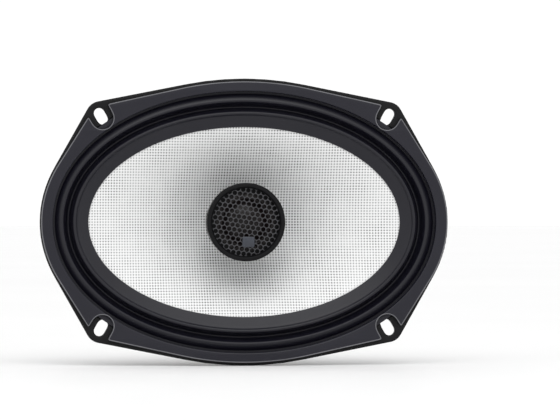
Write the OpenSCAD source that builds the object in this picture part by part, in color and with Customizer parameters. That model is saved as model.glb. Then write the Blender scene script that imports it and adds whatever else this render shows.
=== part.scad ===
// Coaxial 6x9 car speaker: an oval woofer with a tweeter on a post at its centre.
// Every piece is drawn in speaker axes: X along the oval, Y across it, Z out of the
// front, with Z = 0 at the back of the mounting flange. placed() stands the speaker on
// its long edge, so that it faces -Y with +Z up.

/* [Oval] */
// Half length of the cone's visible edge
cone_a = 90.8; // [89:0.1:92]
// Half height of the cone's visible edge
cone_b = 55.4; // [54:0.1:57]

/* [Flange and ears] */
// How far the flange reaches beyond the cone's edge
flange_reach = 27.4; // [26:0.1:28]
// Thickness of the flange
flange_t = 5; // [4.5:0.1:6]
// Half distance between the screw slots along the oval
ear_x = 83.1; // [82:0.1:84]
// Half distance between the screw slots across the oval
ear_y = 60.9; // [60:0.1:62]
// Radius of each ear round its slot
ear_r = 8.7; // [8:0.1:9.5]
// Width of a screw slot
slot_w = 6.2; // [5:0.1:6.6]
// Length of a screw slot
slot_l = 10; // [8:0.1:10.4]
// Direction of a slot from the long axis
slot_angle = 60; // [50:1:65]

/* [Basket] */
// Outside of the step wall beyond the cone's edge, which goes through the cut-out
wall_reach = 19.4; // [19:0.1:19.6]
// Thickness of the step wall and of the ledge
wall_t = 1.8; // [1.5:0.1:2]
// Depth of the step wall behind the flange
wall_h = 9; // [8:0.5:11]
// Inner edge of the ledge beyond the cone's edge
ledge_reach = 12; // [11:0.5:13]
// Direction of the spokes from the long axis
spoke_angle = 34.5; // [33:0.5:36]
// Slope of the spokes
spoke_slope = 58; // [57:0.5:59]
// Width of a spoke at the rim
spoke_w_rim = 36; // [32:1:38]
// Width of a spoke at the spider seat
spoke_w_seat = 24; // [20:1:26]
// Outer radius of the spider seat
seat_r = 52; // [52:0.5:53]

/* [Motor] */
// Radius of the ferrite ring
magnet_r = 45; // [44:0.5:50]
// Thickness of the ferrite ring
magnet_t = 16; // [15:0.5:18]
// Radius of the steel plates
plate_r = 42.5; // [42:0.5:44]
// Thickness of the top plate
top_plate_t = 6; // [5.5:0.5:7]
// Thickness of the back plate
back_plate_t = 7; // [7:0.5:9]
// Inner radius of the voice-coil former
former_r = 19.05; // [19:0.01:19.1]

/* [Tweeter] */
// Height of the tweeter's front above the flange's back
tweeter_front = 13; // [11:0.5:15]
// Radius of the tweeter
tweeter_r = 22.6; // [22:0.1:23]
// Distance between the holes of the grille
mesh_pitch = 3.05; // [2.9:0.05:3.3]
// Radius of a grille hole
mesh_hole_r = 1.18; // [1:0.02:1.25]
// Turn of the grille's rows
mesh_turn = -9; // [-15:1:15]

/* [Hidden] */

$fn = 64;
lap = 0.5;              // overlap inside a node, so that its solids fuse
glue = 0.3;             // gap left where a moving piece is glued to a soft one
oval_n = 96;            // corners of an oval outline
ear_sides = [-1, 1];

// Heights of the stack behind the flange
ledge_z = -wall_h;
spoke_t = 2;
spoke_bend_rim = 10;
spoke_bend_seat = 8;
spoke_rim_r = 80;
spoke_root_r = 88;
spoke_run = spoke_rim_r - seat_r - (spoke_bend_rim + spoke_bend_seat) * sin(spoke_slope);
spoke_straight = spoke_run / cos(spoke_slope);
spoke_z = ledge_z + wall_t / 2;
spoke_drop = (spoke_bend_rim + spoke_bend_seat) * (1 - cos(spoke_slope))
    + spoke_straight * sin(spoke_slope);
seat_z = spoke_z - spoke_drop + spoke_t / 2;
seat_in_r = 45.2;
cup_depth = 12;
floor_z = seat_z - cup_depth;
floor_t = 2;
floor_hole_r = 22.5;
vent_r = 3.6;
vent_count = 8;
top_plate_z = floor_z - top_plate_t;
magnet_z = top_plate_z - magnet_t;
back_z = magnet_z - back_plate_t;
pole_front = floor_z + floor_t;
pole_r = 18.6;
pole_hole_r = 5;
gap_r = 20.4;
magnet_hole_r = 23.5;
wire_groove_w = 5;
wire_groove_h = 2.6;

// Surround and trim ring
lip_reach = 23.9;       // outer edge of the surround's lip
lip_t = 0.8;
lip_seat_z = 2.2;       // floor of the recess that takes the lip
recess_reach = 24.2;
skirt_reach = 23.9;     // outer edge of the trim ring's skirt, which clamps the lip
trim_t = 2.5;
trim_in = 20;
trim_reach = 25.8;
trim_ear_r = 6;
trim_bevel = 0.5;
notch_r = 6.4;
notch_in = 1.4;
notch_corner_r = 1.1;
peg_x = 88.5;
peg_y = 53;
peg_r = 1.1;
peg_hole_r = 1.35;

// Cone
cone_t = 0.8;
neck_r = 19.6;
neck_z = seat_z + 6;
collar_r = 20.3;
collar_h = 3.5;
rim_z = 1.8;
tuck_reach = 5;         // the cone runs this far under the surround's glue band
tuck_rise = 1.9;
cone_flare = 1.25;
cone_n = 72;
cone_rings = 7;

// Voice coil
former_t = 0.3;
former_out = former_r + former_t;
former_front = neck_z + 2;
former_rear = magnet_z + 8;
winding_t = 0.6;
winding_h = 12;
winding_z = floor_z - top_plate_t / 2 - winding_h / 2;

// Spider
spider_t = 0.6;
spider_wave = 1.5;
spider_pitch = 5.2;
spider_flat_r = 45.6;
spider_steps = 64;

// Fasteners of the motor
screw_ring_r = 32;
screw_r = 2.2;
screw_fit = 0.1;
screw_head_r = 4.2;
screw_head_h = 2.4;
screw_count = 4;

// Terminals on the lower left spoke, seen from the front
terminal_angle = 180 + spoke_angle;
block_w = 28;
block_l = 12;
block_t = 3;
block_y = 3;
rivet_x = 4.5;
rivet_r = 1.5;
rivet_head_r = 2.8;
rivet_head_h = 1.1;
blade_t = 0.8;
blade_h = 10;
blade_x = 9.5;
blade_w_plus = 6.3;
blade_w_minus = 4.8;
lug_x = 22;
capacitor_r = 4;
capacitor_l = 16;
capacitor_y = -9.5;

// Tinsel leads and tweeter wires
tinsel_r = 0.6;
wire_r = 0.7;
tag_angle = 22;

// Tweeter post
post_base_r = 13;
post_base_h = 3;
post_stem_r = 6.5;
post_bore_r = 2.8;
post_head_r = 12;
post_head_h = 2;
post_thread_r = 4.9;
post_thread_l = 16;
washer_r = 8.4;
washer_t = 1;

// Tweeter
housing_z = -7;
housing_r = 21.4;
housing_in_r = 18.8;
housing_seat_r = 19.8;
housing_floor = 2;
housing_hole_r = 4.2;
housing_top = tweeter_front - 4;
dome_frame_z = 4.4;
dome_frame_t = 1.8;
dome_frame_in = 14.6;
dome_frame_out = 19.6;
dome_r = 12.5;
dome_h = 4.2;
dome_t = 0.35;
dome_z = dome_frame_z + 0.8;
dome_edge_t = 0.3;
yoke_r = 15.4;
yoke_in_r = 13;
yoke_floor = 1.5;
yoke_z = -2;
tweeter_magnet_r = 10.4;
tweeter_magnet_t = 2.6;
tweeter_pole_r = 11.6;
tweeter_pole_t = 1.6;
coil_r = 12.1;
coil_t = 0.2;
coil_rear = 1;
bezel_in_r = 19.5;
grille_r = 20;
grille_t = 0.6;
grille_z = tweeter_front - 2.4;
mesh_span = 7;
mesh_clear_r = 18.4;
badge_x = 1.4;
badge_y = -11.4;
badge_w = 7;
badge_h = 6;
badge_t = 0.6;

// ---------------------------------------------------------------- shared shapes

module placed() {
    rotate([90, 0, 0]) children();
}

// Point of the curve that runs reach outside the cone's elliptical edge, where the
// outward normal has angle t.
function oval_point(t, reach) = let (h = norm([cone_a * cos(t), cone_b * sin(t)])) [
    (cone_a * cone_a / h + reach) * cos(t),
    (cone_b * cone_b / h + reach) * sin(t)
];

module oval(reach) {
    polygon([for (i = [0:oval_n - 1]) oval_point(360 * i / oval_n, reach)]);
}

module tray(low, high, reach) {
    translate([0, 0, low]) linear_extrude(high - low) oval(reach);
}

module disc(low, high, r) {
    translate([0, 0, low]) cylinder(h = high - low, r = r);
}

module tube(low, high, r_out, r_in) {
    difference() {
        disc(low, high, r_out);
        disc(low - 1, high + 1, r_in);
    }
}

module eared_outline(reach, r) {
    hull() {
        oval(reach);
        for (sx = ear_sides, sy = ear_sides)
            translate([sx * ear_x, sy * ear_y]) circle(r = r, $fn = 48);
    }
}

// Puts a child drawn along +X at each ear, along the slot and pointing outward.
module at_slots() {
    for (sx = ear_sides, sy = ear_sides)
        translate([sx * ear_x, sy * ear_y])
            rotate(sx > 0 ? sy * slot_angle : 180 - sy * slot_angle) children();
}

module capsule(l, w) {
    square([l - w, w], center = true);
    for (s = ear_sides)
        translate([s * (l - w) / 2, 0]) circle(d = w);
}

module at_pegs() {
    for (sx = ear_sides, sy = ear_sides)
        translate([sx * peg_x, sy * peg_y, 0]) children();
}

// A closed tube round a ring of cross-sections: each section is a list of points.
module ring_skin(sections) {
    n = len(sections);
    m = len(sections[0]);
    polyhedron(
        points = [for (s = sections) each s],
        faces = [
            for (i = [0:n - 1], j = [0:m - 1])
                let (a = i * m + j, b = i * m + (j + 1) % m)
                let (c = ((i + 1) % n) * m + (j + 1) % m, d = ((i + 1) % n) * m + j)
                each [[a, b, c], [a, c, d]]
        ]
    );
}

// Catmull-Rom point at u from 0 to 1 between p1 and p2.
function spline_point(p0, p1, p2, p3, u) = 0.5 * (
    2 * p1 + (p2 - p0) * u + (2 * p0 - 5 * p1 + 4 * p2 - p3) * u * u
    + (3 * p1 - p0 - 3 * p2 + p3) * u * u * u
);

function smooth_path(p, steps) = let (n = len(p)) concat(
    [for (i = [0:n - 2], k = [0:steps - 1])
        spline_point(p[max(i - 1, 0)], p[i], p[i + 1], p[min(i + 2, n - 1)], k / steps)],
    [p[n - 1]]
);

function unit(v) = v / norm(v);

// A round cord along a path that never runs along ref, with flat ends.
module cord(path, r, ref = [0, 1, 0], sides = 8) {
    n = len(path);
    function ahead(i) = unit(path[min(i + 1, n - 1)] - path[max(i - 1, 0)]);
    function side(i) = unit(cross(ahead(i), ref));
    rings = [
        for (i = [0:n - 1], j = [0:sides - 1])
            let (e = side(i), f = cross(ahead(i), e), t = 360 * j / sides)
            path[i] + r * (cos(t) * e + sin(t) * f)
    ];
    polyhedron(
        points = rings,
        faces = concat(
            [[for (j = [0:sides - 1]) j]],
            [[for (j = [0:sides - 1]) (n - 1) * sides + sides - 1 - j]],
            [
                for (i = [0:n - 2], j = [0:sides - 1])
                    let (a = i * sides + j, b = i * sides + (j + 1) % sides)
                    let (c = b + sides, d = a + sides)
                    each [[a, d, c], [a, c, b]]
            ]
        )
    );
}

// ---------------------------------------------------------------- basket

// Middle line of a spoke: radius and height, from the rim down to the spider seat.
spoke_line = concat(
    [[spoke_root_r, spoke_z]],
    [for (t = [0:spoke_slope / 6:spoke_slope]) [
        spoke_rim_r - spoke_bend_rim * sin(t),
        spoke_z - spoke_bend_rim * (1 - cos(t))
    ]],
    [for (t = [spoke_slope:-spoke_slope / 6:0]) [
        seat_r + spoke_bend_seat * sin(t),
        spoke_z - spoke_drop + spoke_bend_seat * (1 - cos(t))
    ]],
    [[seat_r - 4, spoke_z - spoke_drop]]
);

function line_normal(p, i) =
    let (d = unit(p[min(i + 1, len(p) - 1)] - p[max(i - 1, 0)])) [-d[1], d[0]];

module spoke_profile() {
    n = len(spoke_line);
    polygon(concat(
        [for (i = [0:n - 1]) spoke_line[i] + line_normal(spoke_line, i) * spoke_t / 2],
        [for (i = [n - 1:-1:0]) spoke_line[i] - line_normal(spoke_line, i) * spoke_t / 2]
    ));
}

module spoke() {
    reach = spoke_root_r + 4;
    intersection() {
        rotate([90, 0, 0]) linear_extrude(2 * spoke_w_rim, center = true) spoke_profile();
        translate([0, 0, seat_z - 10]) linear_extrude(-seat_z + 10) polygon([
            [seat_r - 6, -spoke_w_seat / 2],
            [reach, -spoke_w_rim / 2],
            [reach, spoke_w_rim / 2],
            [seat_r - 6, spoke_w_seat / 2]
        ]);
    }
}

// Middle of the spoke's straight stretch.
spoke_mid_r = (spoke_rim_r - spoke_bend_rim * sin(spoke_slope)
    + seat_r + spoke_bend_seat * sin(spoke_slope)) / 2;
spoke_mid_z = spoke_z - spoke_bend_rim * (1 - cos(spoke_slope))
    - spoke_straight * sin(spoke_slope) / 2;

// Places a child on the back of the terminal spoke: X across it, Y up it, Z off it.
module on_spoke() {
    c = cos(spoke_slope);
    s = sin(spoke_slope);
    rotate(terminal_angle) multmatrix([
        [0, c, s, spoke_mid_r + s * spoke_t / 2],
        [1, 0, 0, 0],
        [0, s, -c, spoke_mid_z - c * spoke_t / 2]
    ]) children();
}

// The same place in speaker axes turned to the spoke: X outward, Y across, Z forward.
function off_spoke(p) = [
    spoke_mid_r + cos(spoke_slope) * p[1] + sin(spoke_slope) * (p[2] + spoke_t / 2),
    p[0],
    spoke_mid_z + sin(spoke_slope) * p[1] - cos(spoke_slope) * (p[2] + spoke_t / 2)
];

module basket() {
    color("#1d1d20") placed() difference() {
        union() {
            linear_extrude(flange_t) eared_outline(flange_reach, ear_r);
            tray(ledge_z, lap, wall_reach);
        }
        tray(ledge_z + wall_t, flange_t + 1, wall_reach - wall_t);
        tray(ledge_z - 1, ledge_z + wall_t + 1, ledge_reach);
        tray(lip_seat_z, flange_t + 1, recess_reach);
        translate([0, 0, -1]) linear_extrude(flange_t + 2) at_slots() capsule(slot_l, slot_w);
        at_pegs() disc(-1, flange_t + 1, peg_hole_r);
    }
    color("#1d1d20") placed() difference() {
        union() {
            for (a = [spoke_angle, 180 - spoke_angle, terminal_angle, -spoke_angle])
                rotate(a) spoke();
            tube(seat_z - spoke_t, seat_z, seat_r, seat_in_r - wall_t);
            tube(floor_z, seat_z - spoke_t / 2, seat_in_r, seat_in_r - wall_t);
            disc(floor_z, floor_z + floor_t, seat_in_r - lap);
        }
        disc(floor_z - 1, floor_z + floor_t + 1, floor_hole_r);
        for (i = [0:vent_count - 1])
            rotate(360 * (i + 0.5) / vent_count)
                translate([seat_in_r - 5, 0, floor_z + floor_t + vent_r + 0.8])
                    rotate([0, 90, 0]) cylinder(h = 10, r = vent_r);
        for (i = [0:screw_count - 1])
            rotate(360 * (i + 0.5) / screw_count)
                translate([screw_ring_r, 0, 0])
                    disc(floor_z - 1, floor_z + floor_t + 1, screw_r + screw_fit);
        for (s = ear_sides)
            on_spoke() translate([s * rivet_x, block_y, 0])
                disc(-spoke_t - 1, 1, rivet_r + screw_fit);
    }
}

// ---------------------------------------------------------------- front ring and surround

module notch() {
    translate([-notch_in, 0]) circle(r = notch_r);
    translate([-notch_in, -notch_r]) square([20, 2 * notch_r]);
}

module trim_outline(inset) {
    difference() {
        offset(r = notch_corner_r) offset(delta = -notch_corner_r - inset) difference() {
            eared_outline(trim_reach, trim_ear_r);
            at_slots() notch();
        }
        oval(trim_in + inset);
    }
}

module skirt_outline() {
    difference() {
        oval(skirt_reach);
        oval(trim_in);
    }
}

module trim_ring() {
    color("#2a2a2e") placed() {
        translate([0, 0, flange_t]) linear_extrude(trim_t - trim_bevel) trim_outline(0);
        translate([0, 0, flange_t + trim_t - trim_bevel - 0.01])
            linear_extrude(trim_bevel + 0.01) trim_outline(trim_bevel / 2);
        translate([0, 0, lip_seat_z + lip_t]) {
            linear_extrude(flange_t - lip_seat_z - lip_t) skirt_outline();
            linear_extrude(flange_t - lip_seat_z - lip_t + lap) intersection() {
                skirt_outline();
                trim_outline(0);
            }
        }
        at_pegs() disc(0.4, flange_t + lap, peg_r);
    }
}

// Middle line of the surround: reach beyond the cone's edge, and height.
surround_line = [
    [0, 2.5], [3.2, 3.5], [6.4, 4.7], [7.5, 5.6], [8.4, 4.6], [9.2, 1.6], [10.2, -0.2],
    [11.4, -0.4], [12.8, 1.6], [13.9, 4.8], [14.7, 5.6], [15.9, 5.1], [17.2, 4.1], [18.3, 3],
    [19.2, lip_seat_z + lip_t / 2], [lip_reach, lip_seat_z + lip_t / 2]
];

function surround_section(t) = let (n = len(surround_line)) concat(
    [for (i = [0:n - 1]) let (q = surround_line[i] + line_normal(surround_line, i) * lip_t / 2)
        each [[each oval_point(t, i == n - 1 ? lip_reach : q[0]), q[1]]]],
    [for (i = [n - 1:-1:0]) let (q = surround_line[i] - line_normal(surround_line, i) * lip_t / 2)
        each [[each oval_point(t, i == n - 1 ? lip_reach : q[0]), q[1]]]]
);

module surround() {
    color("#141416") placed()
        ring_skin([for (i = [0:cone_n - 1]) surround_section(360 * i / cone_n)]);
}

// ---------------------------------------------------------------- moving cone

// Front face of the cone, s from 0 at the neck to 1 at its visible edge.
function cone_point(t, s, drop) = let (edge = oval_point(t, 0), neck = neck_r * [cos(t), sin(t)])
    [each (neck + (edge - neck) * s), neck_z + (rim_z - neck_z) * (1 - pow(1 - s, cone_flare)) - drop];

function cone_section(t) = concat(
    [[neck_r * cos(t), neck_r * sin(t), neck_z - collar_h]],
    [for (i = [0:cone_rings]) cone_point(t, i / cone_rings, 0)],
    [[each oval_point(t, tuck_reach), rim_z + tuck_rise - cone_t]],
    [[each oval_point(t, tuck_reach), rim_z + tuck_rise - 2 * cone_t]],
    [for (i = [cone_rings:-1:1]) cone_point(t, i / cone_rings, cone_t)],
    [[collar_r * cos(t), collar_r * sin(t), neck_z - 1]],
    [[collar_r * cos(t), collar_r * sin(t), neck_z - collar_h]]
);

module cone() {
    color("#e6e7e4") placed()
        ring_skin([for (i = [0:cone_n - 1]) cone_section(360 * i / cone_n)]);
}

module voice_coil_former() {
    color("#b9a878") placed() tube(former_rear, former_front, former_out, former_r);
}

module voice_coil_winding() {
    color("#a4522a") placed()
        tube(winding_z, winding_z + winding_h, former_out + winding_t, former_out + 0.02);
}

// Solder tags on the collar, one for each tinsel lead.
module voice_coil_tags() {
    color("#b98b3c") placed() for (s = ear_sides)
        rotate(terminal_angle + s * tag_angle) translate([collar_r + 0.1, -2, neck_z - collar_h])
            cube([1.4, 4, 2]);
}

// ---------------------------------------------------------------- spider

function spider_mid(r) = let (span = spider_flat_r - former_out - glue, k = (r - former_out - glue) / span)
    seat_z + spider_t / 2 + spider_wave * sin(360 * (spider_flat_r - r) / spider_pitch)
    * min(1, 6 * k) * min(1, 6 * (1 - k));

module spider() {
    inner = former_out + glue;
    radii = [for (i = [0:spider_steps]) inner + (spider_flat_r - inner) * i / spider_steps];
    color("#c8b27a") placed() rotate_extrude() polygon(concat(
        [for (r = radii) [r, spider_mid(r) + spider_t / 2]],
        [[seat_r - 0.6, seat_z + spider_t], [seat_r - 0.6, seat_z]],
        [for (i = [spider_steps:-1:0]) [radii[i], spider_mid(radii[i]) - spider_t / 2]]
    ));
}

// ---------------------------------------------------------------- motor

module top_plate() {
    color("#8f9296") placed() difference() {
        tube(top_plate_z, floor_z, plate_r, gap_r);
        for (i = [0:screw_count - 1])
            rotate(360 * (i + 0.5) / screw_count)
                translate([screw_ring_r, 0, 0]) disc(top_plate_z - 1, floor_z + 1, screw_r + screw_fit);
    }
}

module ferrite_magnet() {
    color("#3a3a3c") placed() tube(magnet_z, top_plate_z, magnet_r, magnet_hole_r);
}

module yoke() {
    color("#8f9296") placed() difference() {
        union() {
            disc(back_z, magnet_z, plate_r);
            disc(magnet_z - lap, pole_front, pole_r);
        }
        disc(back_z - 1, pole_front + 1, pole_hole_r);
        rotate(terminal_angle) translate([0, -wire_groove_w / 2, back_z - 1])
            cube([plate_r + 1, wire_groove_w, wire_groove_h + 1]);
    }
}

module motor_screws() {
    color("#6f7276") placed() for (i = [0:screw_count - 1])
        rotate(360 * (i + 0.5) / screw_count) translate([screw_ring_r, 0, 0]) difference() {
            union() {
                disc(top_plate_z + 0.8, floor_z + floor_t + lap, screw_r);
                disc(floor_z + floor_t, floor_z + floor_t + screw_head_h, screw_head_r);
            }
            disc(floor_z + floor_t + 1, floor_z + floor_t + screw_head_h + 1, 1.8, $fn = 6);
        }
}

// ---------------------------------------------------------------- terminals and wiring

module terminal_block() {
    color("#202022") placed() on_spoke() difference() {
        translate([-block_w / 2, block_y - block_l / 2, 0]) cube([block_w, block_l, block_t]);
        for (s = ear_sides)
            translate([s * rivet_x, block_y, 0]) disc(-1, block_t + 1, rivet_r + screw_fit);
    }
}

module terminal(s, blade_w) {
    on_spoke() translate([0, block_y, block_t]) difference() {
        union() {
            translate([s > 0 ? blade_x - 1.2 : -lug_x, -2, 0]) cube([lug_x - blade_x + 1.2, 4, blade_t]);
            translate([s * blade_x - blade_t / 2, -blade_w / 2, 0]) cube([blade_t, blade_w, blade_h]);
        }
        translate([s * (lug_x - 1.8), 0, 0]) disc(-1, blade_t + 1, 0.9);
        translate([s * blade_x - 1, 0, blade_h - 3.4]) rotate([0, 90, 0]) cylinder(h = 2, r = 0.8);
    }
}

module terminal_positive() {
    color("#c9a24a") placed() terminal(1, blade_w_plus);
}

module terminal_negative() {
    color("#c9c9c4") placed() terminal(-1, blade_w_minus);
}

module terminal_rivets() {
    color("#a8a8aa") placed() for (s = ear_sides)
        on_spoke() translate([s * rivet_x, block_y, 0]) {
            disc(-spoke_t - 0.9, block_t + lap, rivet_r);
            disc(block_t, block_t + rivet_head_h, rivet_head_r);
            disc(-spoke_t - rivet_head_h, -spoke_t, rivet_head_r);
        }
}

// Leads and wires are drawn in axes turned to the terminal spoke: X outward, Y across
// the spoke, Z forward. side is 1 for positive and -1 for negative.

lug_hole_x = lug_x - 1.8;

module tinsel_lead(side) {
    tag = (collar_r + 1.8) * [cos(tag_angle), side * sin(tag_angle)];
    placed() rotate(terminal_angle) cord(smooth_path([
        off_spoke([side * lug_hole_x, block_y, block_t - 0.15]),
        off_spoke([side * lug_hole_x, block_y - 1, -1]),
        [60, side * 18.4, seat_z + 9.5],
        [50, side * 16, seat_z + 6.6],
        [38, side * 12.8, seat_z + 5.4],
        [28, side * 10, seat_z + 4.8],
        [tag[0], tag[1], neck_z - collar_h + 1]
    ], 4), tinsel_r);
}

module tinsel_lead_positive() {
    color("#b5713a") tinsel_lead(1);
}

module tinsel_lead_negative() {
    color("#b5713a") tinsel_lead(-1);
}

capacitor_at = off_spoke([0, capacitor_y, capacitor_r + 0.2]);
capacitor_pin_r = 0.45;
capacitor_pin_l = 3;

module tweeter_capacitor() {
    color("#27408b") placed() rotate(terminal_angle)
        translate(capacitor_at) rotate([90, 0, 0]) {
            cylinder(h = capacitor_l, r = capacitor_r, center = true);
            cylinder(h = capacitor_l + 2 * capacitor_pin_l, r = capacitor_pin_r, center = true);
        }
}

capacitor_end = capacitor_at + [0, capacitor_l / 2 + capacitor_pin_l, 0];

module capacitor_link() {
    color("#b02a22") placed() rotate(terminal_angle) cord(smooth_path([
        off_spoke([lug_hole_x, block_y, block_t + blade_t + 0.1]),
        off_spoke([lug_hole_x, block_y - 0.6, block_t + 3]),
        off_spoke([lug_hole_x - 0.8, block_y - 5.5, block_t + 3]),
        capacitor_end + [0.5, 4, 1],
        capacitor_end + [0, 0.1, 0]
    ], 4), wire_r, [1, 0, 0]);
}

// From the foot of the cup down the magnet's side, along the groove, up the hollow pole
// and post, and out to the tweeter's frame.
module tweeter_wire(start, side) {
    y = side * 0.9;
    beside = magnet_r + 1.6;
    groove = back_z + 1.4;
    turn = side * 1.2;
    placed() rotate(terminal_angle) cord(smooth_path(concat(start, [
        [beside, y, top_plate_z - 8],
        [beside, y, magnet_z + 1],
        [beside - 0.6, y, magnet_z - 2.6],
        [plate_r + 1.5, y, groove + 0.6],
        [plate_r - 2.5, y, groove],
        [25, y, groove],
        [10, y, groove],
        [turn + 2.8, y, groove + 0.9],
        [turn + 0.4, y, groove + 4],
        [turn, y, groove + 9],
        [turn, y, -50],
        [turn, y, -30],
        [turn, y, -12],
        [side * 1.5, y, -7],
        [side * 2.2, y, -5.2],
        [side * 4, y, -3.9],
        [side * 9, y, -3.5],
        [side * 15.2, y, -3.3],
        [side * 17.4, y, -1.4],
        [side * 17.6, y, 1.4],
        [side * 17.6, y, dome_frame_z - 0.2]
    ]), 2), wire_r);
}

module tweeter_wire_positive() {
    pin = capacitor_at - [0, capacitor_l / 2 + capacitor_pin_l, 0];
    color("#b02a22") tweeter_wire([
        pin + [0, -0.2, -capacitor_pin_r - 0.15],
        pin + [-0.6, 1, -3.6],
        [60, -6.5, seat_z - 6.5],
        [54, -2.4, seat_z - 11.5],
        [49, 0.2, seat_z - 17]
    ], 1);
}

module tweeter_wire_negative() {
    color("#1b1b1d") tweeter_wire([
        off_spoke([-lug_hole_x, block_y, block_t + blade_t + 0.1]),
        off_spoke([-lug_hole_x, block_y - 0.6, block_t + 3]),
        [73, -19.6, seat_z + 8],
        [70.5, -17, seat_z + 2],
        [65, -12.5, seat_z - 4],
        [58, -7.2, seat_z - 9.5],
        [51.5, -3.2, seat_z - 14.5]
    ], -1);
}

// ---------------------------------------------------------------- tweeter

module tweeter_post() {
    base_z = pole_front + washer_t;
    color("#1b1b1d") placed() difference() {
        union() {
            disc(base_z, base_z + post_base_h, post_base_r);
            disc(base_z, housing_z - lap, post_stem_r);
            disc(housing_z - post_head_h, housing_z, post_head_r);
            disc(pole_front - post_thread_l, base_z + lap, post_thread_r);
        }
        disc(pole_front - post_thread_l - 1, housing_z + 1, post_bore_r);
    }
}

module post_washer() {
    color("#a8a8aa") placed()
        tube(pole_front, pole_front + washer_t, washer_r, post_thread_r + 0.2);
}

module tweeter_housing() {
    color("#1b1b1d") placed() difference() {
        disc(housing_z, housing_top, housing_r);
        disc(housing_z + housing_floor, housing_top + 1, housing_in_r);
        disc(dome_frame_z, housing_top + 1, housing_seat_r);
        disc(housing_z - 1, housing_z + housing_floor + 1, housing_hole_r);
    }
}

module tweeter_yoke() {
    rim = yoke_z + yoke_floor + tweeter_magnet_t + tweeter_pole_t;
    color("#8f9296") placed() difference() {
        disc(yoke_z, rim, yoke_r);
        disc(yoke_z + yoke_floor, rim + 1, yoke_in_r);
    }
}

module tweeter_magnet() {
    low = yoke_z + yoke_floor;
    color("#b4b6b8") placed() disc(low, low + tweeter_magnet_t, tweeter_magnet_r);
}

module tweeter_pole_piece() {
    low = yoke_z + yoke_floor + tweeter_magnet_t;
    color("#8f9296") placed() disc(low, low + tweeter_pole_t, tweeter_pole_r);
}

module tweeter_dome_frame() {
    color("#1b1b1d") placed()
        tube(dome_frame_z, dome_frame_z + dome_frame_t, dome_frame_out, dome_frame_in);
}

module tweeter_dome() {
    ball_r = (dome_r * dome_r + dome_h * dome_h) / (2 * dome_h);
    color("#3a3436") placed() intersection() {
        translate([0, 0, dome_z + dome_h - ball_r]) difference() {
            sphere(r = ball_r);
            sphere(r = ball_r - dome_t);
        }
        disc(dome_z, dome_z + dome_h + 1, dome_r + 1);
    }
}

module tweeter_dome_surround() {
    lip_z = dome_frame_z + dome_frame_t;
    inner = dome_r + glue;
    roll = dome_frame_in + 0.4 - inner;
    t = dome_edge_t;
    steps = 8;
    arc = [for (i = [0:steps]) let (k = i / steps)
        [inner + roll * k, dome_z + (lip_z - dome_z) * k + 0.9 * sin(180 * k)]];
    color("#2a2628") placed() rotate_extrude() polygon(concat(
        [for (q = arc) q + [0, t]],
        [[dome_frame_in + 2.2, lip_z + t], [dome_frame_in + 2.2, lip_z]],
        [for (i = [steps:-1:0]) arc[i]]
    ));
}

module tweeter_coil_former() {
    color("#c9c9c4") placed() tube(coil_rear, dome_z - 0.1, coil_r + coil_t, coil_r);
}

module tweeter_coil_winding() {
    color("#a4522a") placed()
        tube(coil_rear + 0.2, dome_z - 1, coil_r + coil_t + 0.32, coil_r + coil_t + 0.02);
}

module tweeter_bezel() {
    corner = 1.2;
    shoulder = [for (t = [0:15:90])
        [tweeter_r - corner + corner * cos(t), tweeter_front - corner + corner * sin(t)]];
    color("#232326") placed() rotate_extrude() polygon(concat(
        [[grille_r + 0.1, housing_top], [tweeter_r, housing_top]],
        shoulder,
        [
            [bezel_in_r + 1.1, tweeter_front],
            [bezel_in_r, grille_z + grille_t + 0.4],
            [bezel_in_r, grille_z + grille_t],
            [grille_r + 0.1, grille_z + grille_t]
        ]
    ));
}

module tweeter_grille() {
    color("#1a1a1c") placed() translate([0, 0, grille_z]) linear_extrude(grille_t) difference() {
        circle(r = grille_r);
        rotate(mesh_turn) for (i = [-mesh_span:mesh_span], j = [-mesh_span:mesh_span])
            let (at = mesh_pitch * [i + j / 2, j * sqrt(3) / 2])
                if (norm(at) < mesh_clear_r) translate(at) circle(r = mesh_hole_r, $fn = 16);
    }
}

module tweeter_badge() {
    color("#34363f") placed() translate([badge_x, badge_y, grille_z + grille_t])
        linear_extrude(badge_t) offset(r = 1) square([badge_w - 2, badge_h - 2], center = true);
}

basket();
trim_ring();
surround();
cone();
voice_coil_former();
voice_coil_winding();
voice_coil_tags();
spider();
top_plate();
ferrite_magnet();
yoke();
motor_screws();
terminal_block();
terminal_positive();
terminal_negative();
terminal_rivets();
tinsel_lead_positive();
tinsel_lead_negative();
tweeter_capacitor();
capacitor_link();
tweeter_wire_positive();
tweeter_wire_negative();
tweeter_post();
post_washer();
tweeter_housing();
tweeter_yoke();
tweeter_magnet();
tweeter_pole_piece();
tweeter_dome_frame();
tweeter_dome();
tweeter_dome_surround();
tweeter_coil_former();
tweeter_coil_winding();
tweeter_bezel();
tweeter_grille();
tweeter_badge();
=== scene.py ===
import math

import bmesh
import bpy
import numpy as np
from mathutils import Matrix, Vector
from mathutils.geometry import tessellate_polygon


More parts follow.
